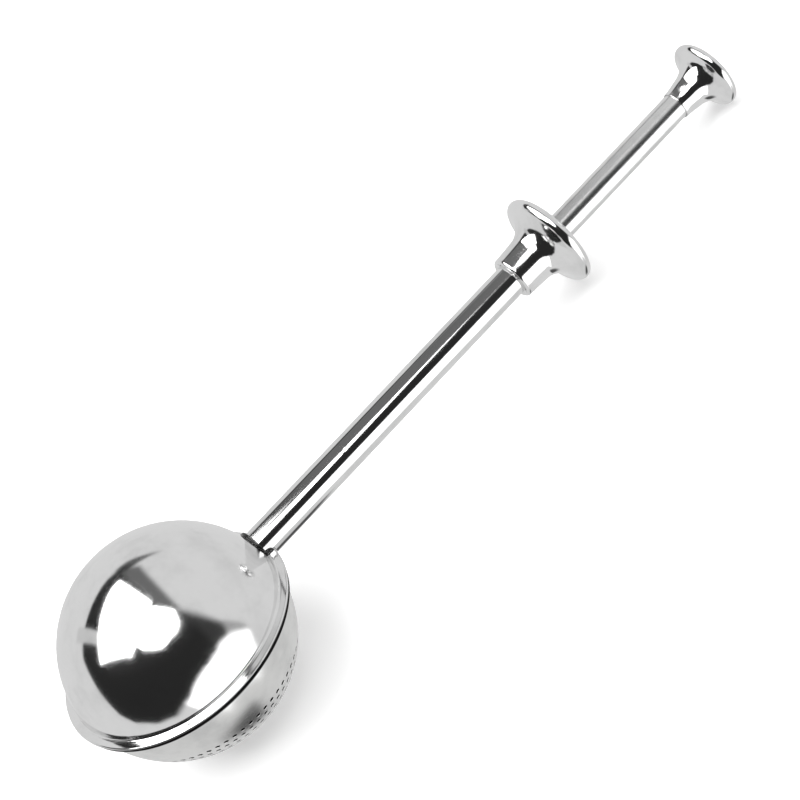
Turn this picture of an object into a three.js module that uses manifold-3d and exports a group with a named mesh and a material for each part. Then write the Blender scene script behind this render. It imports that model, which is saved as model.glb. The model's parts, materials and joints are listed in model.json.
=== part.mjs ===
// Push-pull ball tea infuser, in millimetres, +Z up.
// A plain dome is fixed to an outer tube with a finger flange. A perforated strainer is fixed to an inner
// rod that slides in the tube. The thumb knob pushes the strainer out from under the dome to fill it.
// The pieces are modelled about the centre of the seam, with +X along the handle, and the whole is then
// tipped so that it lies as on a table: on the bottom of the strainer and on the edge of the knob.
import * as THREE from "three";
import { mergeVertices } from "three/addons/utils/BufferGeometryUtils.js";
import Module from "manifold-3d";

// The ball: two halves pressed from sheet, each with a flat rim round its mouth.
const BALL_R = 22.6; // outside radius of both halves
const DOME_SHALLOW = 1.4; // how much less deep than half a ball the dome is
const BOWL_SHALLOW = 0.8; // the same for the strainer
const SHEET = 0.6;
const DOME_RIM_WIDTH = 1.7; // how far the dome's rim stands out from the ball
const BOWL_RIM_WIDTH = 1.4;
const RIM_FILLET = 0.5; // outside fillet between wall and rim
const RIM_EDGE = 0.12; // small chamfer on the rim's edge
const SEAM_GAP = 0.3; // between the two rims

// The strainer's holes.
const HOLE_R = 0.45;
const HOLE_PITCH = 5.6; // along a row, and from row to row
const HOLE_TOP_ANGLE = 63; // degrees from the strainer's lowest point to its outermost row

// The handle.
const HANDLE_HEIGHT = 1.0; // handle axis above the seam
const ROD_R = 2.8;
const ROD_WALL = 0.45;
const RUN_CLEAR = 0.08; // radial, rod in tube
const FIT_GAP = 0.05; // radial, between pieces that are pressed or soldered together
const SEAT_GAP = 0.3; // between a piece and the curved neighbour that it is cut to fit
const TUBE_WALL = 0.42;
const TUBE_LENGTH = 76.2; // from the rim's edge to the tube's upper end
const CRIMP_FROM_RIM = 21.7; // from the rim's edge to the tube's crimped ring
const CRIMP_WIDTH = 1.4;
const CRIMP_DEPTH = 0.16;
const CRIMP_GRIP = 0.03; // radial, rod in the crimped ring
const NOTCH_CLEAR = 0.25; // radial, rod in the dome's notch

// The foot: the half ring that ties the tube to the dome's wall.
const FOOT_WALL = 0.5;
const FOOT_FLARE = 0.55; // how far it spreads where it meets the dome
const FOOT_FROM_RIM = 0.9; // from the ring's front to the rim's edge

// The finger flange and the thumb knob.
const FLANGE = {
  length: 10.8, // from the lip to the middle of the rim
  lipR: 4.65,
  lipRound: 0.6,
  sleeveR: 4.9,
  sleeveLength: 5.6,
  rimR: 10.2,
  rimRound: 1.3,
};
const FLANGE_OVERLAP = 7.7; // length of tube inside the flange
const KNOB = {
  length: 9.0,
  lipR: 3.05,
  lipRound: 0.1,
  sleeveR: 3.45,
  sleeveLength: 3.7,
  rimR: 7.5,
  rimRound: 1.1,
};
const KNOB_OVERLAP = 6.0; // length of rod inside the knob
const COVER_THICK = 0.6;
const COVER_COLLAR = 2.0; // guide collar under the flange's cover
const COVER_COLLAR_WALL = 0.6;
const COVER_LIP = 0.4; // raised lip round the rod, where the knob stops

// The slide, and what holds the rod to the strainer.
const STROKE = 36.4; // how far the strainer slides out
const STOP_GAP = 0.3; // left between the knob and the cover at the end of the stroke
const ROD_INSET = 5.0; // from the ball's outside to the rod's inner end
const PLUG_LENGTH = 2.0;
const PLUG_FACE = 0.3;
const SADDLE_THICK = 0.8;
const SADDLE_LENGTH = 3.2;
const SADDLE_TAB_DROP = 7.5; // how far the tab runs down the strainer's wall
const SADDLE_TAB_WIDTH = 6.0;

// How finely the round shapes are cut.
const BALL_SEGMENTS = 40;
const BALL_STEPS = 8;
const TUBE_SEGMENTS = 24;
const TRUMPET_SEGMENTS = 24;
const HOLE_SEGMENTS = 5;

// What follows from the sizes above.
const DOME_DEPTH = BALL_R - DOME_SHALLOW; // from the seam to the outside of the dome
const BOWL_DEPTH = BALL_R - BOWL_SHALLOW; // from the seam to the outside of the strainer
const DOME_RIM_R = BALL_R + DOME_RIM_WIDTH;
const BOWL_RIM_R = BALL_R + BOWL_RIM_WIDTH;
const TUBE_BORE_R = ROD_R + RUN_CLEAR;
const TUBE_R = TUBE_BORE_R + TUBE_WALL;
const INSIDE_BALL = BALL_R - 4; // where pieces start that are cut back to the dome's wall
const TUBE_END = DOME_RIM_R + TUBE_LENGTH;
const FLANGE_START = TUBE_END - FLANGE_OVERLAP;
const FLANGE_LEDGE = FLANGE.length - COVER_THICK / 2;
const COVER_TOP = FLANGE_START + FLANGE_LEDGE + FIT_GAP + COVER_THICK + COVER_LIP;
const KNOB_START = COVER_TOP + STROKE + STOP_GAP;
const ROD_START = BALL_R - ROD_INSET;
const ROD_END = KNOB_START + KNOB_OVERLAP;

const wasm = await Module();
wasm.setup();

// A three.js geometry as a solid that can be cut and joined.
function toSolid(geometry) {
  const bare = geometry.index ? geometry.toNonIndexed() : geometry.clone();
  bare.deleteAttribute("normal");
  bare.deleteAttribute("uv");
  const merged = mergeVertices(bare, 1e-4);
  const index = Array.from(merged.index.array);
  const kept = [];
  for (let i = 0; i < index.length; i += 3) {
    const [a, b, c] = index.slice(i, i + 3);
    if (a !== b && b !== c && c !== a) kept.push(a, b, c);
  }
  const mesh = new wasm.Mesh({
    numProp: 3,
    vertProperties: merged.attributes.position.array,
    triVerts: new Uint32Array(kept),
  });
  return new wasm.Manifold(mesh);
}

function toGeometry(solid) {
  const { vertProperties, triVerts, numProp, numVert } = solid.getMesh();
  const position = new Float32Array(numVert * 3);
  for (let i = 0; i < numVert; i++) {
    position.set(vertProperties.subarray(i * numProp, i * numProp + 3), i * 3);
  }
  const geometry = new THREE.BufferGeometry();
  geometry.setAttribute("position", new THREE.BufferAttribute(position, 3));
  geometry.setIndex(new THREE.BufferAttribute(new Uint32Array(triVerts), 1));
  geometry.computeVertexNormals();
  return geometry;
}

// Points on an arc about (r, h), from one angle to another in degrees, both ends included.
function arc(r, h, radius, from, to, steps) {
  const points = [];
  for (let i = 0; i <= steps; i++) {
    const a = THREE.MathUtils.degToRad(from + ((to - from) * i) / steps);
    points.push([r + radius * Math.cos(a), h + radius * Math.sin(a)]);
  }
  return points;
}

// A solid of revolution about Y from [radius, height] points. Its faces point outwards whichever way
// round the points run. A profile that doesn't start on the axis is closed on itself.
function turned(profile, segments) {
  const points = profile.map(([r, h]) => new THREE.Vector2(Math.max(r, 0), h));
  if (points[0].x > 1e-6) points.push(points[0].clone());
  if (THREE.ShapeUtils.area(points) < 0) points.reverse();
  return new THREE.LatheGeometry(points, segments);
}

// The same, laid along the handle's axis: heights become distances from the seam's centre.
function turnedOnHandle(profile, segments) {
  const geometry = turned(profile, segments);
  geometry.rotateZ(-Math.PI / 2);
  geometry.translate(0, 0, HANDLE_HEIGHT);
  return geometry;
}

// A plain ring on the handle's axis, or a disc where its inner radius is nothing.
function ringOnHandle(innerR, outerR, start, end, segments) {
  const profile = [
    [innerR, start],
    [outerR, start],
    [outerR, end],
    [innerR, end],
  ];
  return turnedOnHandle(profile, segments);
}

// Height above the seam of the centre of a half's curve.
function curveCentre(depth) {
  return depth - BALL_R;
}

// One pressed half: an even sheet from the pole, round a fillet and out into a flat rim.
function pressedHalf(depth, rimR) {
  const centre = curveCentre(depth);
  const rimUnder = SEAM_GAP / 2;
  const rimTop = rimUnder + SHEET;
  const filletHeight = rimTop + RIM_FILLET;
  const edgeAngle = (radius) => THREE.MathUtils.radToDeg(Math.asin((filletHeight - centre) / radius));
  const wallR = BALL_R * Math.cos(THREE.MathUtils.degToRad(edgeAngle(BALL_R)));
  const filletR = wallR + RIM_FILLET;
  const innerR = BALL_R - SHEET;
  return [
    ...arc(0, centre, BALL_R, 90, edgeAngle(BALL_R), BALL_STEPS),
    ...arc(filletR, filletHeight, RIM_FILLET, 180, 270, 3).slice(1),
    [rimR - RIM_EDGE, rimTop],
    [rimR, rimTop - RIM_EDGE],
    [rimR, rimUnder + RIM_EDGE],
    [rimR - RIM_EDGE, rimUnder],
    ...arc(filletR, filletHeight, RIM_FILLET + SHEET, 270, 180, 3),
    ...arc(0, centre, innerR, edgeAngle(innerR), 90, BALL_STEPS).slice(1),
  ];
}

// A solid rod along the handle's axis, used to cut room for the push rod.
function rodCutter(radius, start, end) {
  return toSolid(ringOnHandle(0, radius, start, end, TUBE_SEGMENTS));
}

// The dome, with a notch up from its rim that the push rod passes through.
function domeShell() {
  const shell = turned(pressedHalf(DOME_DEPTH, DOME_RIM_R), BALL_SEGMENTS);
  shell.rotateX(Math.PI / 2);
  const notchR = ROD_R + NOTCH_CLEAR;
  const reach = DOME_RIM_R - ROD_START;
  const slot = new THREE.BoxGeometry(reach + 2, 2 * notchR, 2 * HANDLE_HEIGHT);
  slot.translate(ROD_START + reach / 2 + 1, 0, 0);
  const notch = rodCutter(notchR, ROD_START, DOME_RIM_R + 2).add(toSolid(slot));
  return toGeometry(toSolid(shell).subtract(notch));
}

// Six-sided cutters for the strainer's holes: rings of them, evenly spaced, down to its lowest point.
function holeCutters() {
  const centre = new THREE.Vector3(0, 0, -curveCentre(BOWL_DEPTH));
  const rowStep = HOLE_PITCH / BALL_R;
  const top = THREE.MathUtils.degToRad(HOLE_TOP_ANGLE);
  let cutters = null;
  for (let row = 0; row * rowStep < top; row++) {
    const angle = top - row * rowStep;
    const around = Math.max(1, Math.round((2 * Math.PI * BALL_R * Math.sin(angle)) / HOLE_PITCH));
    for (let i = 0; i < around; i++) {
      const turn = (2 * Math.PI * i) / around;
      const out = new THREE.Vector3(
        Math.sin(angle) * Math.cos(turn),
        Math.sin(angle) * Math.sin(turn),
        -Math.cos(angle),
      );
      const pin = new THREE.CylinderGeometry(HOLE_R, HOLE_R, 4 * SHEET, HOLE_SEGMENTS);
      pin.applyQuaternion(new THREE.Quaternion().setFromUnitVectors(new THREE.Vector3(0, 1, 0), out));
      pin.translate(...out.multiplyScalar(BALL_R - SHEET / 2).add(centre).toArray());
      const solid = toSolid(pin);
      cutters = cutters ? cutters.add(solid) : solid;
    }
  }
  return cutters;
}

// The strainer, with its holes and a notch in its rim where the push rod is let in.
function strainerShell() {
  const shell = turned(pressedHalf(BOWL_DEPTH, BOWL_RIM_R), BALL_SEGMENTS);
  shell.rotateX(-Math.PI / 2);
  const notch = rodCutter(ROD_R + SEAT_GAP, ROD_START, DOME_RIM_R + 2);
  return toGeometry(toSolid(shell).subtract(notch).subtract(holeCutters()));
}

// Everything that the dome and its rim take up, with room round them, and all that is below the rim
// as far out as its edge.
function domeSpace() {
  const ball = new THREE.SphereGeometry(BALL_R + SEAT_GAP, BALL_SEGMENTS, BALL_SEGMENTS / 2);
  ball.rotateX(Math.PI / 2);
  ball.translate(0, 0, curveCentre(DOME_DEPTH));
  const edgeR = DOME_RIM_R + SEAT_GAP;
  const top = SEAM_GAP / 2 + SHEET + SEAT_GAP;
  const profile = [
    [0, -BALL_R],
    [edgeR, -BALL_R],
    [edgeR, top],
    [0, top],
  ];
  const rim = turned(profile, BALL_SEGMENTS);
  rim.rotateX(Math.PI / 2);
  return toSolid(ball).add(toSolid(rim));
}

// The outer tube. Its lower end is cut to the dome's wall above and to the rim's edge below. The
// crimped ring is a groove outside and a bead inside that grips the rod.
function handleTube() {
  const crimp = DOME_RIM_R + CRIMP_FROM_RIM;
  const half = CRIMP_WIDTH / 2;
  const beadR = ROD_R + CRIMP_GRIP;
  const profile = [
    [TUBE_BORE_R, INSIDE_BALL],
    [TUBE_R, INSIDE_BALL],
    [TUBE_R, crimp - half],
    [TUBE_R - CRIMP_DEPTH, crimp],
    [TUBE_R, crimp + half],
    [TUBE_R, TUBE_END],
    [TUBE_BORE_R, TUBE_END],
    [TUBE_BORE_R, crimp + half],
    [beadR, crimp],
    [TUBE_BORE_R, crimp - half],
  ];
  const tube = toSolid(turnedOnHandle(profile, TUBE_SEGMENTS));
  return toGeometry(tube.subtract(domeSpace()));
}

// The half ring round the tube, spread against the dome's wall above the rim.
function tubeFoot() {
  const seatR = TUBE_R + FIT_GAP;
  const footR = seatR + FOOT_WALL;
  const front = DOME_RIM_R - FOOT_FROM_RIM;
  const profile = [
    [seatR, INSIDE_BALL],
    [footR + FOOT_FLARE, INSIDE_BALL],
    [footR + FOOT_FLARE, front - 0.8],
    [footR + FOOT_FLARE * 0.6, front - 0.3],
    [footR, front],
    [seatR, front],
  ];
  const ring = toSolid(turnedOnHandle(profile, TUBE_SEGMENTS));
  return toGeometry(ring.subtract(domeSpace()));
}

// A trumpet on the handle's axis: a rounded lip, a sleeve that widens a little, a flare and a thick
// round rim with a recess in its mouth for the cover. It is hollow above the sleeve.
function trumpet(size, boreR, start) {
  const { length, lipR, lipRound, sleeveR, sleeveLength, rimR, rimRound } = size;
  const rimCentreR = rimR - rimRound;
  const recess = recessRadius(size);
  const ledge = length - COVER_THICK / 2;
  const [rimStart] = arc(rimCentreR, length, rimRound, -115, -115, 1);
  const flare = new THREE.CubicBezierCurve(
    new THREE.Vector2(sleeveR, sleeveLength),
    new THREE.Vector2(sleeveR + 0.3, sleeveLength + 0.45 * (rimStart[1] - sleeveLength)),
    new THREE.Vector2(sleeveR + 0.4 * (rimStart[0] - sleeveR), rimStart[1] - 0.6),
    new THREE.Vector2(...rimStart),
  );
  const recessAngle = THREE.MathUtils.radToDeg(Math.acos((recess - rimCentreR) / rimRound));
  const profile = [
    [boreR, lipRound],
    ...arc(lipR - lipRound, lipRound, lipRound, -90, 0, 3),
    ...flare.getPoints(7).map((p) => [p.x, p.y]),
    ...arc(rimCentreR, length, rimRound, -115, recessAngle, 10).slice(1),
    [recess, ledge],
    [recess - 0.7, ledge],
    [sleeveR + 0.45 * (recess - sleeveR), sleeveLength + 0.7 * (ledge - sleeveLength)],
    [sleeveR - 0.35, sleeveLength + 0.35 * (ledge - sleeveLength)],
    [boreR, sleeveLength + 0.1],
  ];
  return turnedOnHandle(
    profile.map(([r, h]) => [r, start + h]),
    TRUMPET_SEGMENTS,
  );
}

// Radius of the recess in a trumpet's mouth.
function recessRadius(size) {
  return size.rimR - 1.8 * size.rimRound;
}

// The pressed plate that closes the finger flange, with a guide collar for the rod.
function flangeCover() {
  const outerR = recessRadius(FLANGE) - FIT_GAP;
  const under = FLANGE_START + FLANGE_LEDGE + FIT_GAP;
  const top = under + COVER_THICK;
  const collarR = TUBE_BORE_R + COVER_COLLAR_WALL;
  const profile = [
    [TUBE_BORE_R, under - COVER_COLLAR],
    [collarR, under - COVER_COLLAR],
    [collarR, under],
    [outerR, under],
    [outerR, top],
    [collarR + COVER_LIP, top],
    [collarR, top + COVER_LIP],
    [TUBE_BORE_R, top + COVER_LIP],
  ];
  return turnedOnHandle(profile, TRUMPET_SEGMENTS);
}

// The flat plate that closes the knob.
function knobCover() {
  const under = KNOB_START + KNOB.length - COVER_THICK / 2 + FIT_GAP;
  return ringOnHandle(0, recessRadius(KNOB) - FIT_GAP, under, under + COVER_THICK, TRUMPET_SEGMENTS);
}

function pushRod() {
  return ringOnHandle(ROD_R - ROD_WALL, ROD_R, ROD_START, ROD_END, TUBE_SEGMENTS);
}

// The plug that keeps tea out of the rod: a stem in the bore and a thin head over its end.
function rodTipPlug() {
  const stemR = ROD_R - ROD_WALL - FIT_GAP;
  const profile = [
    [0, ROD_START - PLUG_FACE - FIT_GAP],
    [ROD_R - 0.3, ROD_START - PLUG_FACE - FIT_GAP],
    [ROD_R, ROD_START - FIT_GAP],
    [stemR, ROD_START - FIT_GAP],
    [stemR, ROD_START + PLUG_LENGTH],
    [0, ROD_START + PLUG_LENGTH],
  ];
  return turnedOnHandle(profile, TUBE_SEGMENTS);
}

// The saddle: a half-round cradle under the rod, and a tab bent down along the strainer's wall.
function rodSaddle() {
  const cradleR = ROD_R + FIT_GAP;
  const outerR = cradleR + SADDLE_THICK;
  const end = ROD_START + SADDLE_LENGTH;
  const cradle = toSolid(ringOnHandle(cradleR, outerR, ROD_START, end, TUBE_SEGMENTS));
  const upper = new THREE.BoxGeometry(4 * SADDLE_LENGTH, 4 * outerR, 2 * outerR);
  upper.translate(ROD_START, 0, HANDLE_HEIGHT + outerR);
  const tabShell = (radius) => {
    const ball = new THREE.SphereGeometry(radius, BALL_SEGMENTS, BALL_SEGMENTS / 2);
    ball.rotateX(Math.PI / 2);
    ball.translate(0, 0, -curveCentre(BOWL_DEPTH));
    return toSolid(ball);
  };
  const wallR = BALL_R - SHEET - SEAT_GAP;
  const tabTop = HANDLE_HEIGHT - cradleR;
  const tab = new THREE.BoxGeometry(2 * BALL_R, SADDLE_TAB_WIDTH, SADDLE_TAB_DROP);
  tab.translate(BALL_R, 0, tabTop - SADDLE_TAB_DROP / 2);
  const strip = toSolid(tab).intersect(tabShell(wallR)).subtract(tabShell(wallR - SADDLE_THICK));
  const bridge = new THREE.BoxGeometry(wallR - ROD_START, SADDLE_TAB_WIDTH / 2, SADDLE_THICK);
  bridge.translate((wallR + ROD_START) / 2, 0, tabTop - SADDLE_THICK / 2);
  const joined = toSolid(bridge).intersect(tabShell(wallR)).add(strip).add(cradle);
  const bore = rodCutter(cradleR, 0, 2 * BALL_R);
  return toGeometry(joined.subtract(toSolid(upper)).subtract(bore));
}

// Finishes.
const polishedSteel = () =>
  new THREE.MeshStandardMaterial({ color: 0xdcdcdc, roughness: 0.08, metalness: 1 });
const satinSteel = () =>
  new THREE.MeshStandardMaterial({ color: 0xc4c4c2, roughness: 0.28, metalness: 1 });
const insideSteel = () =>
  new THREE.MeshStandardMaterial({ color: 0xa8a8a6, roughness: 0.4, metalness: 1 });

function piece(name, geometry, material) {
  const mesh = new THREE.Mesh(geometry, material);
  mesh.name = name;
  return mesh;
}

// What stays in the hand.
const handleSide = new THREE.Group();
handleSide.add(
  piece("dome_shell", domeShell(), polishedSteel()),
  piece("tube_foot", tubeFoot(), polishedSteel()),
  piece("handle_tube", handleTube(), satinSteel()),
  piece("finger_flange", trumpet(FLANGE, TUBE_R + FIT_GAP, FLANGE_START), polishedSteel()),
  piece("flange_cover", flangeCover(), polishedSteel()),
);

// What slides.
const slidingSide = new THREE.Group();
slidingSide.add(
  piece("strainer_shell", strainerShell(), satinSteel()),
  piece("push_rod", pushRod(), satinSteel()),
  piece("rod_tip_plug", rodTipPlug(), insideSteel()),
  piece("rod_saddle", rodSaddle(), insideSteel()),
  piece("knob_shell", trumpet(KNOB, ROD_R + FIT_GAP, KNOB_START), polishedSteel()),
  piece("knob_cover", knobCover(), polishedSteel()),
);

// The tip of the handle: the angle at which the ball and the knob's rim reach the same level.
function restTilt() {
  const along = KNOB_START + KNOB.length;
  const rise = HANDLE_HEIGHT + curveCentre(BOWL_DEPTH);
  const rimDrop = KNOB.rimR - KNOB.rimRound - rise;
  const reach = Math.hypot(along, rimDrop);
  return Math.asin((BALL_R - KNOB.rimRound) / reach) - Math.atan2(rimDrop, along);
}

const infuser = new THREE.Group();
infuser.add(handleSide, slidingSide);
infuser.rotation.y = restTilt();
const box = new THREE.Box3().setFromObject(infuser, true);
const middle = box.getCenter(new THREE.Vector3());
infuser.position.set(-middle.x, -middle.y, -box.min.z);

export default infuser;
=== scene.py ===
# %% [markdown]
# # A push-pull ball tea infuser in stainless steel
# A plain dome and a perforated strainer make a ball at the end of a slim tube. Pushing the thumb knob
# towards the finger flange slides the strainer out from under the dome, to scoop up tea leaves.
# This lesson builds each piece of steel finely, round a plain solid model that gives every size and
# place, and then finishes the steel: mirror polish, drawn grain, turned lines and traces of use.

# %% Load the solid model that everything is built round
import json
import math

import bmesh
import bpy
from mathutils import Matrix, Vector
from mathutils.geometry import delaunay_2d_cdt


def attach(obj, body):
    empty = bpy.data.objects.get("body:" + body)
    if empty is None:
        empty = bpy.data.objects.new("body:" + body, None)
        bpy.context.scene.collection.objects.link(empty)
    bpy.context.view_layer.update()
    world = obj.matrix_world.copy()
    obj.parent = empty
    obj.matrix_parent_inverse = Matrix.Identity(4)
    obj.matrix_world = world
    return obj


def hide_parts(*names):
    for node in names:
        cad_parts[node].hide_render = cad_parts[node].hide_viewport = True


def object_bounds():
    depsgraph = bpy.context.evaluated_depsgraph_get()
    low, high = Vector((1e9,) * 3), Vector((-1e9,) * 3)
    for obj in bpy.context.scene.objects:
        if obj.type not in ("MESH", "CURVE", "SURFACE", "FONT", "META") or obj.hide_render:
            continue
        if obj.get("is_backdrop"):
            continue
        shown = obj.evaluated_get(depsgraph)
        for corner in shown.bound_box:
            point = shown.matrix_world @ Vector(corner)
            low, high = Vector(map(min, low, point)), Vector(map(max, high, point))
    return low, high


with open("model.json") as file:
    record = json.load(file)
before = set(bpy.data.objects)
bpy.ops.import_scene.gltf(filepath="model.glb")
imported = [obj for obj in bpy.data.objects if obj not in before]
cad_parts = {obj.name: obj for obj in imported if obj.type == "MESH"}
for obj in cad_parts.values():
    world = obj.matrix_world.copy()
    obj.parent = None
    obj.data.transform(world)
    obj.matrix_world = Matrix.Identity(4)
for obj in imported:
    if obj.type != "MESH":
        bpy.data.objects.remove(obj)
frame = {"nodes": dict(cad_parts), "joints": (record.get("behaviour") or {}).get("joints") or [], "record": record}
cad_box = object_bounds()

print("pieces in the solid model:", sorted(frame["nodes"]))

# %% [markdown]
# ## The handle's own frame
# The infuser lies tilted, on its ball and on the edge of its knob, so nothing on it is level. Every piece
# is simple when it is drawn on the handle instead: X runs along the handle from the middle of the ball,
# Z points up through the dome, and the flat seam between the two halves is at Z = 0. The slide's
# direction gives X, and the knob's end face gives the place. Sizes are in millimetres until the mesh is made.

# %% Handle frame
MM = 0.001
HANDLE_HEIGHT = 1.0
KNOB_FACE_FROM_SEAM = 150.4

along = -Vector(frame["joints"][0]["axis"]).normalized()
across = Vector((0, 1, 0))
upward = along.cross(across)
knob_face = Vector(frame["record"]["mounts"][0]["pos_m"])
seam_centre = knob_face - along * (KNOB_FACE_FROM_SEAM * MM) - upward * (HANDLE_HEIGHT * MM)
handle_frame = Matrix.Translation(seam_centre) @ Matrix((along, across, upward)).transposed().to_4x4()
print("seam centre, mm:", [round(v / MM, 2) for v in seam_centre])
print("handle slopes down by", round(math.degrees(math.asin(-along.z)), 2), "degrees")


def on_handle(x, y, z):
    """A place drawn on the handle, in millimetres, as a place in the scene."""
    return handle_frame @ Vector((x * MM, y * MM, z * MM))


def reach(node):
    """Lowest and highest X, Y and Z of a solid piece on the handle, and its greatest radius round it."""
    back = handle_frame.inverted()
    points = [(back @ v.co) / MM for v in frame["nodes"][node].data.vertices]
    low = Vector([min(p[i] for p in points) for i in range(3)])
    high = Vector([max(p[i] for p in points) for i in range(3)])
    radius = max(math.hypot(p.y, p.z - HANDLE_HEIGHT) for p in points)
    return low, high, radius


for name in sorted(frame["nodes"]):
    low, high, radius = reach(name)
    print(f"{name}: X {low.x:.2f} to {high.x:.2f}, Z {low.z:.2f} to {high.z:.2f}, radius {radius:.2f} mm")

# %% [markdown]
# ## The camera
# A long lens from well above keeps the proportions true, and it looks past the side of the handle. The
# camera is rolled, so the handle runs up and to the right across the picture with the ball at the lower
# left. Angles are in degrees, and the place that it looks at is given on the handle.

# %% Camera
LENS = 103.4
VIEW_TURN = -10.43  # round the upright axis, from straight in front
VIEW_HEIGHT = 36.61  # above level
VIEW_ROLL = 45.09
VIEW_DISTANCE = 431.2
AIM = (60.90, -0.23, 0.69)

camera_data = bpy.data.cameras.new("camera")
camera_data.lens = LENS
camera_data.clip_start = 0.01
camera_data.clip_end = 20.0
camera = bpy.data.objects.new("camera", camera_data)
bpy.context.scene.collection.objects.link(camera)
turn, height = math.radians(VIEW_TURN), math.radians(VIEW_HEIGHT)
sight = Vector((math.cos(height) * math.sin(turn), -math.cos(height) * math.cos(turn), math.sin(height)))
facing = sight.to_track_quat("Z", "Y").to_matrix().to_4x4()
roll = Matrix.Rotation(-math.radians(VIEW_ROLL), 4, "Z")
place = on_handle(*AIM) + sight * (VIEW_DISTANCE * MM)
camera.matrix_world = Matrix.Translation(place) @ facing @ roll
bpy.context.scene.camera = camera
print("camera at, mm:", [round(v / MM, 1) for v in place])

# %% [markdown]
# ## Drawing profiles
# Everything here except the holes is turned or pressed to a round form, so each piece starts as a
# profile: a list of points, each a place along the axis and a radius. Two helpers draw the curved parts,
# and a third rounds every corner a little, because no edge of pressed steel is perfectly sharp and it is
# the rounded edge that catches the light.


# %% Profile helpers
def arc(h, r, radius, start, end, steps):
    """Points on an arc round (h, r), from one angle to another in degrees. 0 points along +h."""
    angles = [math.radians(start + (end - start) * i / steps) for i in range(steps + 1)]
    return [(h + radius * math.cos(a), r + radius * math.sin(a)) for a in angles]


def sweep(a, b, c, d, steps):
    """Points on a smooth curve from a to d that leaves towards b and arrives from c."""
    points = []
    for i in range(steps + 1):
        t = i / steps
        w = ((1 - t) ** 3, 3 * t * (1 - t) ** 2, 3 * t * t * (1 - t), t**3)
        points.append(tuple(w[0] * a[k] + w[1] * b[k] + w[2] * c[k] + w[3] * d[k] for k in (0, 1)))
    return points


def soften(profile, radius, closed=True, steps=3):
    """Rounds every corner of more than 25 degrees, by as much of the radius as its two sides allow."""
    points = [Vector(p) for p in profile]
    count = len(points)
    done = []
    for i, corner in enumerate(points):
        if not closed and i in (0, count - 1):
            done.append(tuple(corner))
            continue
        before = points[i - 1] - corner
        after = points[(i + 1) % count] - corner
        if before.length < 1e-6 or after.length < 1e-6:
            continue
        if math.pi - before.angle(after) < math.radians(25):
            done.append(tuple(corner))
            continue
        cut = min(radius, before.length * 0.45, after.length * 0.45)
        start = corner + before.normalized() * cut
        end = corner + after.normalized() * cut
        for k in range(steps + 1):
            t = k / steps
            done.append(tuple((1 - t) ** 2 * start + 2 * t * (1 - t) * corner + t * t * end))
    return done


# %% [markdown]
# ## Turning a profile into steel
# The profile is spun round its axis into a mesh of long quads. A weighted-normal modifier keeps the flat
# faces flat beside the small rounded edges, which matters a great deal on a mirror finish. Pieces on the
# handle turn round X, and the two halves of the ball turn round Z.


# %% Turning
def new_piece(name, bm):
    """A finished mesh, in millimetres on the handle, as a piece in the scene."""
    bmesh.ops.recalc_face_normals(bm, faces=bm.faces)
    bm.transform(Matrix.Scale(MM, 4))
    mesh = bpy.data.meshes.new(name)
    bm.to_mesh(mesh)
    bm.free()
    mesh.shade_smooth()
    piece = bpy.data.objects.new(name, mesh)
    bpy.context.scene.collection.objects.link(piece)
    piece.matrix_world = handle_frame
    print(f"{name}: {len(mesh.polygons)} faces")
    return piece


def keep_flats_flat(piece):
    modifier = piece.modifiers.new("flat faces", "WEIGHTED_NORMAL")
    modifier.weight = 80


def stands_for(piece, node, body):
    """The piece moves with the body and takes the place of the node, which is hidden."""
    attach(piece, body)
    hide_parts(node)


def spin(bm, profile, steps, closed=True):
    """Spins (along, radius) points round X. A closed profile joins its last point to its first."""
    rings = []
    for h, r in profile:
        if r < 1e-6:
            rings.append([bm.verts.new((h, 0, 0))])
            continue
        angles = [2 * math.pi * i / steps for i in range(steps)]
        rings.append([bm.verts.new((h, r * math.cos(a), r * math.sin(a))) for a in angles])
    pairs = list(zip(rings, rings[1:]))
    if closed:
        pairs.append((rings[-1], rings[0]))
    for one, two in pairs:
        for i in range(steps):
            j = (i + 1) % steps
            corners = []
            for v in (one[i % len(one)], one[j % len(one)], two[j % len(two)], two[i % len(two)]):
                if v not in corners:
                    corners.append(v)
            if len(corners) > 2:
                bm.faces.new(corners)


def turned_on_handle(name, profile, steps=128, closed=True):
    bm = bmesh.new()
    spin(bm, profile, steps, closed)
    bmesh.ops.translate(bm, verts=bm.verts, vec=(0, 0, HANDLE_HEIGHT))
    return new_piece(name, bm)


def carve(piece, cutter):
    """Cuts one piece with another and throws the cutter away."""
    cut = piece.modifiers.new("carve", "BOOLEAN")
    cut.operation = "DIFFERENCE"
    cut.solver = "EXACT"
    cut.object = cutter
    bpy.context.view_layer.update()
    carved = piece.evaluated_get(bpy.context.evaluated_depsgraph_get())
    mesh = bpy.data.meshes.new_from_object(carved)
    piece.modifiers.remove(cut)
    piece.data = mesh
    bpy.data.objects.remove(cutter)
    print(f"{piece.name}: {len(mesh.polygons)} faces after carving")


def rod_shape(radius, start, end, steps=96):
    """A plain round bar on the handle's axis, only ever used as a cutter."""
    return turned_on_handle("cutter", [(start, 0), (start, radius), (end, radius), (end, 0)], steps, False)


# %% [markdown]
# ## The ball's two halves
# Each half is pressed from sheet 0.6 mm thick: a bowl, a small fillet, and a flat rim. The sheet's outside
# and inside are two arcs round one centre, which sits a little beyond the seam, so each half is slightly
# shallower than a full hemisphere. Both are drawn by one function. The dome's rim is a little wider than
# the strainer's.

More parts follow.
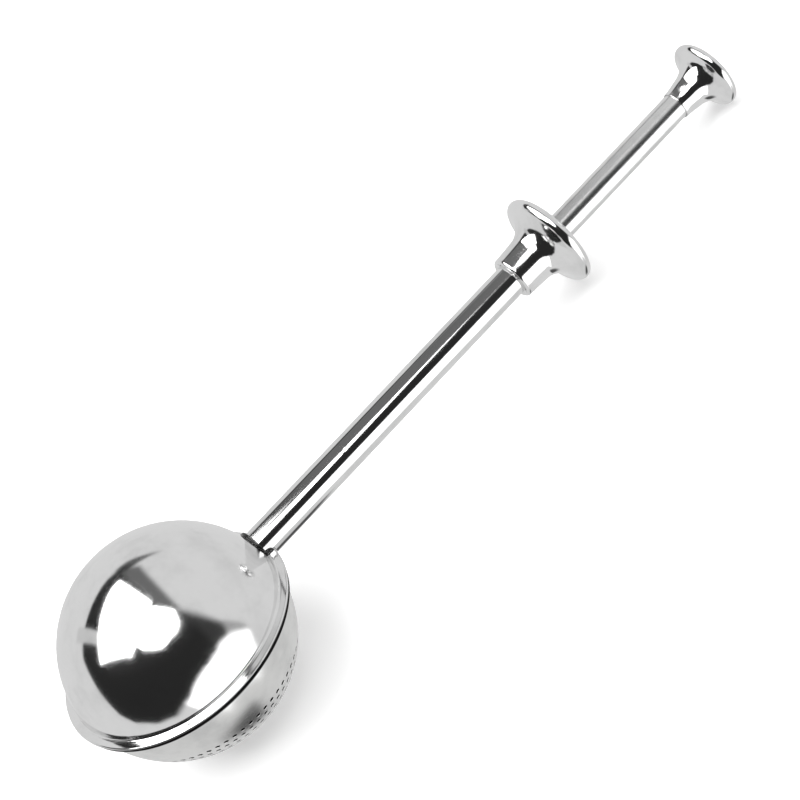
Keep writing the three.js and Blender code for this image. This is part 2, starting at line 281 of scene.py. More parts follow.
# %% Sizes of the ball
SHEET = 0.6
SEAM_GAP = 0.3
FILLET = 0.55
CURVE_STEPS = 72
_, dome_high, _ = reach("dome_shell")
bowl_low, bowl_high, _ = reach("strainer_shell")
DOME_DEPTH = dome_high.z
BOWL_DEPTH = -bowl_low.z
DOME_RIM = dome_high.y
BOWL_RIM = bowl_high.y
BALL_R = 22.6
BALL_STEPS = 256
print(f"dome {DOME_DEPTH:.2f} mm deep, rim {DOME_RIM:.2f} mm")
print(f"strainer {BOWL_DEPTH:.2f} mm deep, rim {BOWL_RIM:.2f} mm")


def pressed_half(depth, rim):
    """The closed profile of one half from its pole out to the rim and back inside, as (height, radius)."""
    centre = depth - BALL_R
    under = SEAM_GAP / 2
    top = under + SHEET
    outer_start = math.degrees(math.asin((top + FILLET - centre) / BALL_R))
    inner_r = BALL_R - SHEET
    inner_start = math.degrees(math.asin((top + FILLET - centre) / inner_r))
    wall = BALL_R * math.cos(math.radians(outer_start))
    outside = [(centre + r, h) for h, r in arc(0, 0, BALL_R, 90, outer_start, CURVE_STEPS)]
    fillet = [(top + FILLET + r, wall + FILLET + h) for h, r in arc(0, 0, FILLET, 180, 270, 8)][1:]
    edge = SHEET / 2
    lip = [(under + edge + r, rim - edge + h) for h, r in arc(0, 0, edge, 90, -90, 10)]
    inner_wall = inner_r * math.cos(math.radians(inner_start))
    bend = FILLET + SHEET
    turn_in = [(top + FILLET + r, inner_wall + bend + h) for h, r in arc(0, 0, bend, 270, 180, 8)]
    inside = [(centre + r, h) for h, r in arc(0, 0, inner_r, inner_start, 90, CURVE_STEPS)][1:]
    return outside + fillet + lip + turn_in + inside


def spun_half(profile, below):
    """Spins a half's profile round Z, downwards for the strainer."""
    bm = bmesh.new()
    spin(bm, profile, BALL_STEPS, closed=False)
    flip = -1 if below else 1
    for v in bm.verts:
        v.co = Vector((v.co.y, v.co.z, v.co.x * flip))
    return bm


# %% [markdown]
# ## True normals for a mirror
# A mirror shows every small error in how its surface is shaded. A ball's faces all point straight away
# from its centre, so that direction is written onto them exactly, and the flat of the rim gets the
# direction of the flat. Only the small rounded edges are left to ordinary smooth shading.


# %% Ball normals
def true_normals(piece, centre):
    """Sets exact shading directions on a half whose curve is centred at this height."""
    mesh = piece.data
    middle = Vector((0, 0, centre * MM))
    radii = (BALL_R * MM, (BALL_R - SHEET) * MM)
    distances = [(v.co - middle).length for v in mesh.vertices]
    mesh.set_sharp_from_angle(angle=math.radians(35))
    normals = [Vector((0, 0, 0))] * len(mesh.loops)
    exact = 0
    for face in mesh.polygons:
        outer = all(abs(distances[v] - radii[0]) < 2e-6 for v in face.vertices)
        inner = all(abs(distances[v] - radii[1]) < 2e-6 for v in face.vertices)
        flat = abs(face.normal.z) > 0.9999 and not (outer or inner)
        for loop in face.loop_indices:
            if outer or inner:
                away = (mesh.vertices[mesh.loops[loop].vertex_index].co - middle).normalized()
                normals[loop] = away if outer else -away
                exact += 1
            elif flat:
                normals[loop] = face.normal.copy()
    mesh.normals_split_custom_set(normals)
    print(f"{piece.name}: {exact} of {len(mesh.loops)} corners shaded as a true ball")


# %% [markdown]
# ## The dome
# The plain half, with a keyhole notch up from its rim for the rod that slides in and out beside it. The
# notch is a real cut, made with a boolean, because it shows when the ball is open.

# %% Dome
ROD_R = reach("push_rod")[2]
NOTCH = ROD_R + 0.25
INSIDE_BALL = BALL_R - 4  # where a piece starts that is cut back to the wall
NOTCH_SPAN = (BALL_R - 5, DOME_RIM + 2)


def block(x, y, z):
    """A plain block between two places on each axis, only ever used as a cutter."""
    bm = bmesh.new()
    bmesh.ops.create_cube(bm, size=1)
    bmesh.ops.scale(bm, verts=bm.verts, vec=(x[1] - x[0], y[1] - y[0], z[1] - z[0]))
    bmesh.ops.translate(bm, verts=bm.verts, vec=(sum(x) / 2, sum(y) / 2, sum(z) / 2))
    return new_piece("cutter", bm)


dome = new_piece("dome", spun_half(pressed_half(DOME_DEPTH, DOME_RIM), below=False))
carve(dome, rod_shape(NOTCH, *NOTCH_SPAN))
carve(dome, block(NOTCH_SPAN, (-NOTCH, NOTCH), (-1, HANDLE_HEIGHT)))
true_normals(dome, DOME_DEPTH - BALL_R)
stands_for(dome, "dome_shell", "handle")

# %% [markdown]
# ## The strainer
# The strainer is the same pressing the other way up, with hundreds of small punched holes in rows from
# its lowest point up to 61 degrees. Cutting each hole with a boolean would be slow and rough. Instead the
# cap is drawn flat, as a map of the ball seen from its pole, where every hole is a closed loop of points.
# A constrained triangulation fills the map between the holes, and the map is then wrapped onto the ball
# twice, outside and inside. Short walls join the two at each hole, with a small chamfer outside.

# %% Sizes of the holes
HOLE_R = 0.49
HOLE_CHAMFER = 0.04
HOLE_POINTS = 12
HOLE_PITCH = 1.84
TOP_ROW = 61.0  # degrees from the strainer's lowest point
ROW_STEP = 5.5
CAP_EDGE = 64.5  # where the perforated cap ends and the plain band begins


def hole_rows():
    """(angle from the lowest point, holes in the row) for every row."""
    rows = []
    angle = TOP_ROW
    while angle > 1:
        length = 2 * math.pi * BALL_R * math.sin(math.radians(angle))
        rows.append((angle, max(1, round(length / HOLE_PITCH))))
        angle -= ROW_STEP
    return rows


def direction(polar, turn):
    """Unit vector at this angle from straight down, turned this far round. Both in radians."""
    return Vector((math.sin(polar) * math.cos(turn), math.sin(polar) * math.sin(turn), -math.cos(polar)))


def on_map(v):
    """Where a direction falls on the flat map: its distance from the middle is its angle from below."""
    polar = math.acos(max(-1, min(1, -v.z)))
    turn = math.atan2(v.y, v.x)
    return Vector((polar * math.cos(turn), polar * math.sin(turn)))


def ring_round(v, radius, points):
    """Directions round v that mark a circle of this radius, in millimetres, on the ball."""
    side = v.orthogonal().normalized()
    other = v.cross(side)
    spread = radius / BALL_R
    out = []
    for i in range(points):
        a = 2 * math.pi * i / points
        out.append(v * math.cos(spread) + (side * math.cos(a) + other * math.sin(a)) * math.sin(spread))
    return out


rows = hole_rows()
holes = []
for number, (angle, count) in enumerate(rows):
    for i in range(count):
        holes.append(direction(math.radians(angle), 2 * math.pi * (i + 0.5 * (number % 2)) / count))
print(f"{len(holes)} holes in {len(rows)} rows, {HOLE_PITCH} mm apart")


# %% [markdown]
# ### The map of the cap
# The map holds its edge, the loops of the holes, and a row of points between each two rows of holes, which
# keeps the triangles small enough to follow the ball. The triangulation may reorder its points, so it
# gives back where each came from.


# %% Map of the perforated cap
def cap_map():
    """Flat points with their directions outside and inside, and the triangles between the holes."""
    outer, inner, edges, loops = [], [], [], []
    edge_angle = math.radians(CAP_EDGE)
    for i in range(BALL_STEPS):
        v = direction(edge_angle, 2 * math.pi * i / BALL_STEPS)
        outer.append(v)
        inner.append(v)
        edges.append((i, (i + 1) % BALL_STEPS))
    for hole in holes:
        first = len(outer)
        outer += ring_round(hole, HOLE_R + HOLE_CHAMFER, HOLE_POINTS)
        inner += ring_round(hole, HOLE_R + 0.01, HOLE_POINTS)
        loop = list(range(first, first + HOLE_POINTS))
        loops.append(loop)
        edges += [(loop[k], loop[(k + 1) % HOLE_POINTS]) for k in range(HOLE_POINTS)]
    for angle, count in rows:
        between = math.radians(angle - ROW_STEP / 2)
        if between > 0:
            for i in range(2 * count):
                v = direction(between, math.pi * i / count)
                outer.append(v)
                inner.append(v)
    flat = [on_map(v) for v in outer]
    made = delaunay_2d_cdt(flat, edges, [], 0, 1e-7)
    return outer, inner, loops, made


outer_way, inner_way, hole_loops, made = cap_map()
map_faces, origins = made[2], made[3]
print(f"map: {len(outer_way)} points, {len(map_faces)} triangles")


# %% [markdown]
# ### Wrapping the map
# Each point of the map becomes one point on the outside of the ball and one on the inside. Triangles that
# lie within a hole are left out, and a wall of two bands runs through the sheet at each hole. The chamfer
# is the outer band: a punch always draws the edge of its hole in a little.


# %% Wrapping the map onto the ball
def perforated_cap(bm, centre):
    """Adds the cap's outside, inside and hole walls to a mesh that holds the rest of the strainer."""
    where = {source: out for out, sources in enumerate(origins) for source in sources}
    middle = Vector((0, 0, centre))
    out_verts, in_verts = [], []
    for sources in origins:
        out_verts.append(bm.verts.new(middle + outer_way[sources[0]] * BALL_R))
        in_verts.append(bm.verts.new(middle + inner_way[sources[0]] * (BALL_R - SHEET)))
    in_hole = {}
    for number, loop in enumerate(hole_loops):
        for source in loop:
            in_hole[where[source]] = number
    for face in map_faces:
        numbers = {in_hole.get(v) for v in face}
        if len(numbers) == 1 and None not in numbers:
            continue
        bm.faces.new([out_verts[v] for v in face])
        bm.faces.new([in_verts[v] for v in reversed(face)])
    for hole, loop in zip(holes, hole_loops):
        throat = ring_round(hole, HOLE_R, HOLE_POINTS)
        middle_ring = [bm.verts.new(middle + v * (BALL_R - HOLE_CHAMFER)) for v in throat]
        for k in range(HOLE_POINTS):
            j = (k + 1) % HOLE_POINTS
            a, b = where[loop[k]], where[loop[j]]
            bm.faces.new((out_verts[a], out_verts[b], middle_ring[j], middle_ring[k]))
            bm.faces.new((middle_ring[k], middle_ring[j], in_verts[b], in_verts[a]))


def strainer_band():
    """The strainer's profile from the edge of the cap out to the rim and back: a closed ring."""
    whole = pressed_half(BOWL_DEPTH, BOWL_RIM)
    centre = BOWL_DEPTH - BALL_R
    limit = math.radians(CAP_EDGE)
    kept = [p for p in whole if math.atan2(p[1], p[0] - centre) > limit + 0.005]
    cut_out = (centre + BALL_R * math.cos(limit), BALL_R * math.sin(limit))
    inner_r = BALL_R - SHEET
    cut_in = (centre + inner_r * math.cos(limit), inner_r * math.sin(limit))
    return [cut_out] + kept + [cut_in]


# %% [markdown]
# ### Joining the cap to its band
# The plain band round the cap is spun as the dome was, and notched for the rod. Its end faces, where the
# cap begins, are removed, and the two share the same ring of points there, so they merge into one closed
# mesh. An edge with one face, or with more than two, would show that they had not.

# %% Strainer
band = bmesh.new()
spin(band, strainer_band(), BALL_STEPS, closed=True)
for v in band.verts:
    v.co = Vector((v.co.y, v.co.z, -v.co.x))
strainer = new_piece("strainer", band)
carve(strainer, rod_shape(ROD_R + 0.3, *NOTCH_SPAN))

whole = bmesh.new()
whole.from_mesh(strainer.data)
whole.transform(Matrix.Scale(1 / MM, 4))
bowl_middle = BALL_R - BOWL_DEPTH
closing = []
for face in whole.faces:
    angles = [math.atan2(math.hypot(v.co.x, v.co.y), bowl_middle - v.co.z) for v in face.verts]
    if max(angles) < math.radians(CAP_EDGE) + 1e-4:
        closing.append(face)
bmesh.ops.delete(whole, geom=closing, context="FACES_ONLY")
perforated_cap(whole, bowl_middle)
bmesh.ops.remove_doubles(whole, verts=whole.verts, dist=0.004)
bmesh.ops.recalc_face_normals(whole, faces=whole.faces)
open_edges = sum(1 for e in whole.edges if len(e.link_faces) not in (0, 2))
whole.transform(Matrix.Scale(MM, 4))
whole.to_mesh(strainer.data)
whole.free()
strainer.data.shade_smooth()
true_normals(strainer, bowl_middle)
stands_for(strainer, "strainer_shell", "slider")
print(f"strainer: {len(strainer.data.polygons)} faces, {open_edges} open edges")

# %% [markdown]
# ## The outer tube
# The tube is drawn steel, 6.6 mm across, crimped in one place so that it grips the rod: outside that is
# hardly more than a faint ring, and inside it is a low bead. The lower end is cut to the dome's wall and
# stepped over the rim. Cutting it with a ball and a disc a hair larger than the dome gives an exact fit,
# which would be hard to model by hand.

# %% Tube
TUBE_R = 3.3
BORE_R = ROD_R + 0.08
_, tube_high, _ = reach("handle_tube")
TUBE_END = tube_high.x
CRIMP_AT = DOME_RIM + 21.7
CRIMP_HALF = 0.7
CRIMP_DEPTH = 0.01
CRIMP_BEAD = 0.05  # how far the crimp stands into the bore
ROUND = 160  # steps round a tube


def cut_to_dome(piece, gap):
    """Cuts a piece back to the dome's wall, and to the edge of its rim."""
    ball = bmesh.new()
    spin(ball, [(BALL_R + gap) * Vector(p) for p in arc(0, 0, 1, 180, 0, 96)], 192, closed=False)
    bmesh.ops.translate(ball, verts=ball.verts, vec=(0, 0, DOME_DEPTH - BALL_R))
    carve(piece, new_piece("cutter", ball))
    rim = bmesh.new()
    top = SEAM_GAP / 2 + SHEET + gap
    spin(rim, [(-20, 0), (-20, DOME_RIM + gap), (top, DOME_RIM + gap), (top, 0)], 192, closed=False)
    for v in rim.verts:
        v.co = Vector((v.co.y, v.co.z, v.co.x))
    carve(piece, new_piece("cutter", rim))


crimp_shape = [(x / 3 - 1, (1 + math.cos(math.pi * (x / 3 - 1))) / 2) for x in range(7)]
crimp = [(CRIMP_AT + CRIMP_HALF * x, TUBE_R - CRIMP_DEPTH * fall) for x, fall in crimp_shape]
bead = [(CRIMP_AT + CRIMP_HALF * x, BORE_R - CRIMP_BEAD * fall) for x, fall in reversed(crimp_shape)]
outside = [(INSIDE_BALL, TUBE_R)] + crimp + [(TUBE_END, TUBE_R)]
inside = [(TUBE_END, BORE_R)] + bead + [(INSIDE_BALL, BORE_R)]
tube = turned_on_handle("tube", soften(outside + inside, 0.12), ROUND)
cut_to_dome(tube, 0.12)
keep_flats_flat(tube)
stands_for(tube, "handle_tube", "handle")

# %% [markdown]
# ## The ring at the tube's foot
# A thin double ring ties the tube to the dome's wall. Its colour is painted nearly black, as the shade of
# the gap between the tube's end and the dome. It is turned like the tube, with two small beads at its
# front, and cut to the same wall.

# %% Foot ring
FOOT_R = reach("tube_foot")[2] - 0.45
FOOT_FRONT = 22.5
FOOT_BEAD = 0.2
FOOT_BORE = TUBE_R + 0.03
foot_profile = [(INSIDE_BALL, FOOT_BORE), (INSIDE_BALL, FOOT_R - FOOT_BEAD / 2)]
foot_profile += arc(FOOT_FRONT - 3 * FOOT_BEAD, FOOT_R - FOOT_BEAD, FOOT_BEAD, 120, 20, 8)
foot_profile += arc(FOOT_FRONT - FOOT_BEAD, FOOT_R - 1.15 * FOOT_BEAD, FOOT_BEAD, 150, -60, 14)
foot_profile += [(FOOT_FRONT - FOOT_BEAD / 2, FOOT_BORE)]
foot = turned_on_handle("foot", foot_profile, ROUND)
cut_to_dome(foot, 0.1)
keep_flats_flat(foot)
stands_for(foot, "tube_foot", "handle")

# %% [markdown]
# ## The finger flange and the thumb knob
# Both are trumpets spun from sheet: a rounded lip, a sleeve that widens slowly, a concave flare, and an
# edge rolled into a thick round rim. Only the sizes differ, so one function draws them. Each mouth is
# closed by a pressed plate that sits in a recess inside the rim.

# %% Trumpets
COVER_THICK = 0.6
FLARE = (0.45, 0.06, 0.12, 0.6)  # how a flare leaves the sleeve and arrives at the rim, as shares


def trumpet(name, start, length, lip, lip_round, sleeve, sleeve_length, rim, roll, bore):
    """A hollow trumpet from its lip at start to the middle of its rim, length further on."""
    middle = rim - roll
    roll_start = (length + roll * math.cos(math.radians(-155)), middle + roll * math.sin(math.radians(155)))
    profile = [(lip_round, bore)]
    profile += arc(lip_round, lip - lip_round, lip_round, 180, 90, 10)
    neck = (sleeve_length, sleeve)
    widen = ((sleeve_length * 0.4, lip + 0.02), (sleeve_length * 0.7, sleeve - 0.12))
    profile += sweep(profile[-1], *widen, neck, 10)[1:]
    gap = roll_start[0] - sleeve_length
    lift = roll_start[1] - sleeve
    leave = (sleeve_length + gap * FLARE[0], sleeve + lift * FLARE[1])
    arrive = (roll_start[0] - gap * FLARE[2], roll_start[1] - lift * FLARE[3])
    profile += sweep(neck, leave, arrive, roll_start, 24)[1:]
    recess = rim - 1.8 * roll
    ledge = length - COVER_THICK / 2
    down = math.degrees(math.asin((recess - middle) / roll))
    profile += arc(length, middle, roll, 155, down, 28)[1:]
    profile += [(ledge, recess), (ledge, recess - 0.7)]
    profile += [
        (sleeve_length + 0.7 * (ledge - sleeve_length), sleeve + 0.45 * (recess - sleeve)),
        (sleeve_length + 0.35 * (ledge - sleeve_length), sleeve - 0.35),
        (sleeve_length + 0.1, bore),
    ]
    piece = turned_on_handle(name, soften([(start + h, r) for h, r in profile], 0.15), 192)
    keep_flats_flat(piece)
    return piece


flange_low, _, _ = reach("finger_flange")
flange = trumpet(
    "flange", flange_low.x, length=10.8, lip=4.65, lip_round=0.6, sleeve=4.95, sleeve_length=5.6,
    rim=10.2, roll=1.3, bore=TUBE_R + 0.05,
)
stands_for(flange, "finger_flange", "handle")

knob_low, _, _ = reach("knob_shell")
knob = trumpet(
    "knob", knob_low.x, length=9.0, lip=3.05, lip_round=0.14, sleeve=3.5, sleeve_length=3.7,
    rim=7.5, roll=1.1, bore=ROD_R + 0.04,
)
stands_for(knob, "knob_shell", "slider")

# %% [markdown]
# ## The two covers
# The flange's cover is a shallow pressed plate with a raised lip round the rod, where the knob stops, and
# a guide collar below. The knob's cover is a plain disc, slightly crowned so that it isn't dead flat.

# %% Covers
cover_low, cover_high, cover_r = reach("flange_cover")
lip_top = cover_high.x
plate_top = lip_top - 0.4
collar = BORE_R + 0.6
cover_profile = [
    (cover_low.x, BORE_R),
    (cover_low.x, collar),
    (plate_top - COVER_THICK, collar),
    (plate_top - COVER_THICK, cover_r + 0.04),
    (plate_top, cover_r + 0.04),
    (plate_top, cover_r - 0.5),
    (plate_top - 0.15, cover_r - 0.9),
    (plate_top - 0.15, collar + 0.9),
    (plate_top, collar + 0.4),
    (lip_top, collar),
    (lip_top, BORE_R),
]
cover = turned_on_handle("cover", soften(cover_profile, 0.2), ROUND)
keep_flats_flat(cover)
stands_for(cover, "flange_cover", "handle")

cap_low, cap_high, cap_r = reach("knob_cover")
cap_edge = cap_high.x - 0.14
cap_profile = [
    (cap_low.x, 0),
    (cap_low.x, cap_r + 0.04),
    (cap_edge, cap_r + 0.04),
    (cap_edge, cap_r - 0.4),
    (cap_high.x, cap_r - 0.9),
    (cap_high.x, 0),
]
cap = turned_on_handle("cap", soften(cap_profile, 0.15, closed=False), ROUND, closed=False)
keep_flats_flat(cap)
stands_for(cap, "knob_cover", "slider")

# %% [markdown]
# ## The rod and its plug
# The rod is a thinner tube that slides in the outer one. Its inner end is closed by a plug with a short
# stem, so that no tea gets in. Both are turned, like everything else on the handle.

# %% Rod, plug and saddle
rod_low, rod_high, _ = reach("push_rod")
ROD_BORE = ROD_R - 0.45
rod_profile = [(rod_low.x, ROD_BORE), (rod_low.x, ROD_R), (rod_high.x, ROD_R), (rod_high.x, ROD_BORE)]
rod = turned_on_handle("rod", soften(rod_profile, 0.12), ROUND)
keep_flats_flat(rod)
stands_for(rod, "push_rod", "slider")

plug_low, plug_high, _ = reach("rod_tip_plug")
PLUG_STEM = ROD_BORE - 0.03
plug_head = rod_low.x - 0.03
plug_profile = [
    (plug_low.x, 0),
    (plug_low.x, ROD_R - 0.25),
    (plug_head, ROD_R),
    (plug_head, PLUG_STEM),
    (plug_high.x, PLUG_STEM),
    (plug_high.x, 0),
]
plug = turned_on_handle("plug", soften(plug_profile, 0.12, closed=False), 96, closed=False)
keep_flats_flat(plug)
stands_for(plug, "rod_tip_plug", "slider")

# %% [markdown]
# ## The saddle
# The rod's inner end lies in a cradle, and a tab runs down from it along the strainer's wall, where it is
# spot-welded. The tab is cut out of a thin bowl that fits inside the strainer, so it follows the wall
# exactly. The cradle is half of a short tube, and a boolean joins the two.

# %% Saddle
CRADLE = ROD_R + 0.05
SADDLE_THICK = 0.8
SADDLE_HALF_WIDTH = 3
TAB_DROP = 7.5
FAR = 30  # well past every part of the ball
cradle_out = CRADLE + SADDLE_THICK
saddle_end = rod_low.x + 3.2


def thin_bowl(radius, thick):
    """A plain bowl of sheet under the strainer's inside, only ever used to shape the saddle's tab."""
    bm = bmesh.new()
    outer = [(radius * h, radius * r) for h, r in arc(0, 0, 1, 180, 90, 64)]
    inner_r = radius - thick
    inner = [(inner_r * h, inner_r * r) for h, r in arc(0, 0, 1, 90, 180, 64)]
    spin(bm, outer + inner, 192, closed=False)
    for v in bm.verts:
        v.co = Vector((v.co.y, v.co.z, v.co.x + bowl_middle))
    return new_piece("saddle", bm)


saddle = thin_bowl(BALL_R - SHEET - 0.12, SADDLE_THICK)
tab_end = HANDLE_HEIGHT - CRADLE - TAB_DROP
carve(saddle, block((-FAR, 10), (-FAR, FAR), (-FAR, FAR)))
carve(saddle, block((0, FAR), (-FAR, -SADDLE_HALF_WIDTH), (-FAR, FAR)))
carve(saddle, block((0, FAR), (SADDLE_HALF_WIDTH, FAR), (-FAR, FAR)))
carve(saddle, block((0, FAR), (-FAR, FAR), (-FAR, tab_end)))
carve(saddle, rod_shape(cradle_out - 0.02, rod_low.x - 5, FAR))
carve(saddle, block((0, FAR), (-FAR, FAR), (HANDLE_HEIGHT - 2.9, FAR)))
cradle_profile = soften(
    [(rod_low.x, CRADLE), (rod_low.x, cradle_out), (saddle_end, cradle_out), (saddle_end, CRADLE)], 0.2
)
cradle = turned_on_handle("cradle", cradle_profile, 96)
carve(cradle, block((0, FAR), (-FAR, FAR), (HANDLE_HEIGHT, FAR)))
join = saddle.modifiers.new("join", "BOOLEAN")
join.operation = "UNION"
join.solver = "EXACT"
join.object = cradle
bpy.context.view_layer.update()
joined = bpy.data.meshes.new_from_object(saddle.evaluated_get(bpy.context.evaluated_depsgraph_get()))
saddle.modifiers.clear()
saddle.data = joined
bpy.data.objects.remove(cradle)
saddle.data.shade_smooth()
saddle.data.set_sharp_from_angle(angle=math.radians(35))
stands_for(saddle, "rod_saddle", "slider")
print(f"saddle: {len(saddle.data.polygons)} faces")

# %% [markdown]
# ## Marks in steel and painted shade, as shared node groups
# Steel is never one flat value. Five node groups work from a place on the piece. Four are real marks: fine
# scratches from cloths and drawers, a grain drawn along a tube, lines turned round a spun piece, and the
# faint clouds that hands and hard water leave. The fifth is painted shade, in the seam, in the holes and
# inside the ball. Each gives out only a mask or a height, and the steel's own shader in each material
# decides what to do with it. Nodes stay sharp at any distance and need no unwrapping.


# %% Node helpers
def group(name, inputs, outputs):
    """An empty node group with named inputs (name, kind, default) and outputs (name)."""
    tree = bpy.data.node_groups.new(name, "ShaderNodeTree")
    for label, kind, default in inputs:
        socket = tree.interface.new_socket(label, in_out="INPUT", socket_type=kind)
        if default is not None:
            socket.default_value = default
    for label in outputs:
        tree.interface.new_socket(label, in_out="OUTPUT", socket_type="NodeSocketFloat")
    return tree, tree.nodes.new("NodeGroupInput"), tree.nodes.new("NodeGroupOutput")


def node(tree, kind, links=None, **settings):
    """Adds a node, sets its properties, and links or sets its inputs by number or name."""
    made_node = tree.nodes.new(kind)
    for key, value in settings.items():
        setattr(made_node, key, value)
    for key, value in (links or {}).items():
        if isinstance(value, bpy.types.NodeSocket):
            tree.links.new(value, made_node.inputs[key])
        else:
            made_node.inputs[key].default_value = value
    return made_node


def spread(tree, value, low, high):
    """0 at low and 1 at high, smoothly between them and clamped beyond."""
    links = {"Value": value, "From Min": low, "From Max": high}
    return node(tree, "ShaderNodeMapRange", links, interpolation_type="SMOOTHSTEP").outputs[0]


def maths(tree, operation, *values):
    """The result of one sum. MULTIPLY_ADD takes three values: a times b plus c."""
    return node(tree, "ShaderNodeMath", dict(enumerate(values)), operation=operation).outputs[0]


def noise(tree, place, scale, detail, roughness=0.5):
    """Smooth noise from 0 to 1. Roughness is how strongly its finer detail shows."""
    links = {"Vector": place, "Scale": scale, "Detail": detail, "Roughness": roughness}
    return node(tree, "ShaderNodeTexNoise", links).outputs[0]


def stretched(tree, place, scale, rotation=(0, 0, 0)):
    """A place on the piece, scaled and turned before it goes into a noise."""
    links = {"Vector": place, "Rotation": rotation, "Scale": scale}
    return node(tree, "ShaderNodeMapping", links).outputs[0]


def mix_colour(tree, share, one, two):
    links = {"Factor": share, "A": one, "B": two}
    return node(tree, "ShaderNodeMix", links, data_type="RGBA").outputs["Result"]


# %% [markdown]
# ### Fine scratches
# Cloths and drawers leave hair-thin marks that run in a few directions. A noise stretched a long way and
# cut off high gives such streaks, and three of them at different angles cross each other.

# %% Fine scratches
scratches, scratch_in, scratch_out = group(
    "fine_scratches", [("Place", "NodeSocketVector", None), ("Density", "NodeSocketFloat", 0.5)], ["Marks"]
)
STREAK = (0.12, 3.4, 3.4)
streaks = []
for angle, fineness in ((0.5, 26.0), (2.1, 34.0), (-0.9, 22.0)):
    turned = stretched(scratches, scratch_in.outputs["Place"], STREAK, (angle, angle * 0.7, angle))
    streaks.append(spread(scratches, noise(scratches, turned, fineness * 0.12, 2.0), 0.62, 0.70))
crossed = maths(scratches, "MAXIMUM", maths(scratches, "MAXIMUM", streaks[0], streaks[1]), streaks[2])
thinned = maths(scratches, "MULTIPLY", crossed, scratch_in.outputs["Density"])
scratches.links.new(thinned, scratch_out.inputs["Marks"])
print("scratches in", len(streaks), "directions")

# %% [markdown]
# ### Drawn grain
# A tube is pulled through a die, which leaves a faint grain along its length. The noise is squeezed along
# the tube, so each mark runs about thirty times as far along it as round it.

# %% Grain drawn along a tube
grain, grain_in, grain_out = group("drawn_grain", [("Place", "NodeSocketVector", None)], ["Grain"])
drawn_out = stretched(grain, grain_in.outputs["Place"], (0.03, 1, 1))
grain.links.new(noise(grain, drawn_out, 9.0, 3.0), grain_out.inputs["Grain"])
print("grain stretched", round(1 / 0.03), "times")

# %% [markdown]
# ### Turned lines
# A spun or pressed round piece is polished while it turns, so its marks are rings. A noise that reads only
# the place along the axis and the distance out from it is the same all the way round, as such rings are.

# %% Lines turned round an axis
rings, rings_in, rings_out = group(
    "turned_lines", [("Along", "NodeSocketFloat", 0.0), ("Out", "NodeSocketFloat", 0.0)], ["Lines"]
)
ring_place = node(rings, "ShaderNodeCombineXYZ", {0: rings_in.outputs["Along"], 1: rings_in.outputs["Out"]})
rings.links.new(noise(rings, ring_place.outputs[0], 7.0, 3.0), rings_out.inputs["Lines"])
print("turned lines about", round(1 / 7.0, 2), "mm apart")

# %% [markdown]
# ### Traces of hands and water
# Steel that is handled and rinsed keeps broad, faint clouds. A slow noise gives them, kept weak, because a
# clean infuser shows them only as a slight unevenness in its shine.

# %% Traces of hands and water
traces, traces_in, traces_out = group("traces_of_use", [("Place", "NodeSocketVector", None)], ["Cloud"])
cloud = noise(traces, traces_in.outputs["Place"], 0.12, 4.0, roughness=0.6)
traces.links.new(spread(traces, cloud, 0.4, 0.75), traces_out.inputs["Cloud"])
print("clouds about", round(1 / 0.12), "mm across")

# %% [markdown]
# ### Painted shade in the seam, the holes and the inside of the ball
# Light hardly reaches between the two rims, into the holes or inside the ball, so shade is painted into the
# steel's colour there. These masks mark such places from the distance to the middle of the curve and from
# the height over the seam. The mask of the holes starts well away from the rim.

# %% Painted shade in the seam, the holes and the inside of the ball
INNER_R = BALL_R - SHEET
hollow, hollow_in, hollow_out = group(
    "painted_seam_hole_and_inside_shade",
    [("Place", "NodeSocketVector", None), ("Centre", "NodeSocketFloat", 0.0)],
    ["Inside", "Seam", "Hole Shade"],
)
hollow_middle = node(hollow, "ShaderNodeCombineXYZ", {2: hollow_in.outputs["Centre"]})
links = {0: hollow_in.outputs["Place"], 1: hollow_middle.outputs[0]}
away = node(hollow, "ShaderNodeVectorMath", links, operation="DISTANCE").outputs["Value"]
hollow_parts = node(hollow, "ShaderNodeSeparateXYZ", {0: hollow_in.outputs["Place"]})
from_seam = maths(hollow, "ABSOLUTE", hollow_parts.outputs[2])
past_outside = spread(hollow, away, BALL_R - 0.05, BALL_R - 0.09)
short_of_inside = spread(hollow, away, INNER_R + 0.02, INNER_R + 0.06)
in_sheet = maths(hollow, "MULTIPLY", past_outside, short_of_inside)
throat = maths(hollow, "MULTIPLY", in_sheet, spread(hollow, from_seam, 4.5, 5.5))
hollow.links.new(spread(hollow, away, INNER_R + 0.2, INNER_R + 0.05), hollow_out.inputs["Inside"])
hollow.links.new(spread(hollow, from_seam, 0.58, 0.42), hollow_out.inputs["Seam"])
hollow.links.new(throat, hollow_out.inputs["Hole Shade"])
print("node groups:", [g.name for g in bpy.data.node_groups])

# %% [markdown]
# ## The steels
# Every piece is the same metal with a different history. The dome, the flange and the knob are
# mirror-polished, the tube and the rod are drawn, and the strainer is only bright from the press. One
# function builds them all from a few numbers: how rough, how much of each mark, and how strongly the
# height of the marks bends the reflection.

# %% Steel
# Painted shade: the inside of the ball is painted darker, and the seam between the rims and the hole walls nearly
# black, where light hardly reaches.
PAINTED_INSIDE_SHADE = (0.22, 0.215, 0.21, 1)
PAINTED_SEAM_AND_HOLE_SHADE = (0.012, 0.012, 0.012, 1)


def add_shares(tree, start, shares):
    """Starts from a value and adds a share of each mark to it."""
    total = start
    for mark, share in shares:
        total = maths(tree, "MULTIPLY_ADD", mark, share, total)
    return total


